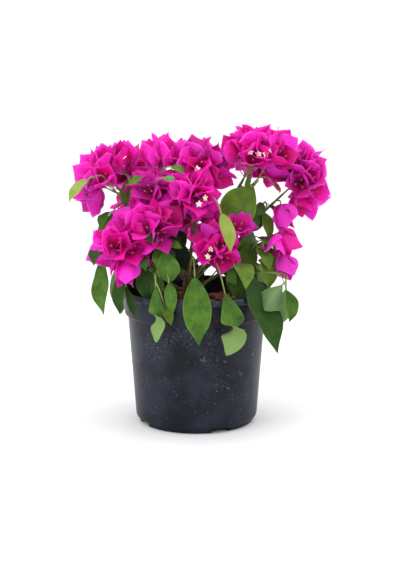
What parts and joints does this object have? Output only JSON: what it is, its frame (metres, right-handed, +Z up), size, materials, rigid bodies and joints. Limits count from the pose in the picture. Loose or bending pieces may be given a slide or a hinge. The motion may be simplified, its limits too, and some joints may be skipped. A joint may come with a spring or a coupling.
{
  "type": "potted bougainvillea sapling",
  "caption": "Young bougainvillea shrub in bloom: short woody trunk, arching boughs, papery magenta bracts and drooping oval green leaves, in a tapered black nursery pot.",
  "frame": {"origin": "middle of the pot's flat underside", "axes": "+Z up, -Y towards the plant's front, +X to the right seen from the front"},
  "size_m": [0.3026, 0.2156, 0.3426],
  "materials": {
    "pot_plastic": "satin",
    "potting_soil": "matte",
    "bark": "matte",
    "bract": "matte",
    "leaf": "satin"
  },
  "bodies": {
    "root": {"bloom_back": "bract", "bloom_back_left": "bract", "bloom_back_right": "bract", "bloom_centre": "bract", "bloom_centre_low": "bract", "bloom_front": "bract", "bloom_left_end": "bract", "bloom_left_inner": "bract", "bloom_left_low": "bract", "bloom_left_middle": "bract", "bloom_left_tip": "bract", "bloom_left_upper": "bract", "bloom_right_hanging": "bract", "bloom_right_outer": "bract", "bloom_right_top": "bract", "bloom_top": "bract", "bough_back": "bark", "bough_back_left": "bark", "bough_back_right": "bark", "bough_centre": "bark", "bough_front": "bark", "bough_left_low": "bark", "bough_left_middle": "bark", "bough_left_tip": "bark", "bough_left_upper": "bark", "bough_right_hanging": "bark", "bough_right_outer": "bark", "bough_right_top": "bark", "bough_top": "bark", "leaves_back_left": "leaf", "leaves_back_low": "leaf", "leaves_back_right": "leaf", "leaves_centre": "leaf", "leaves_front": "leaf", "leaves_front_left": "leaf", "leaves_front_right": "leaf", "leaves_left_end": "leaf", "leaves_left_front": "leaf", "leaves_left_low": "leaf", "leaves_left_middle": "leaf", "leaves_left_tip": "leaf", "leaves_left_upper": "leaf", "leaves_right_curl": "leaf", "leaves_right_inner": "leaf", "leaves_right_low": "leaf", "leaves_right_middle": "leaf", "leaves_right_outer": "leaf", "leaves_right_top": "leaf", "leaves_top": "leaf", "pot": "pot_plastic", "soil": "potting_soil", "trunk": "bark"}
  },
  "joints": []
}
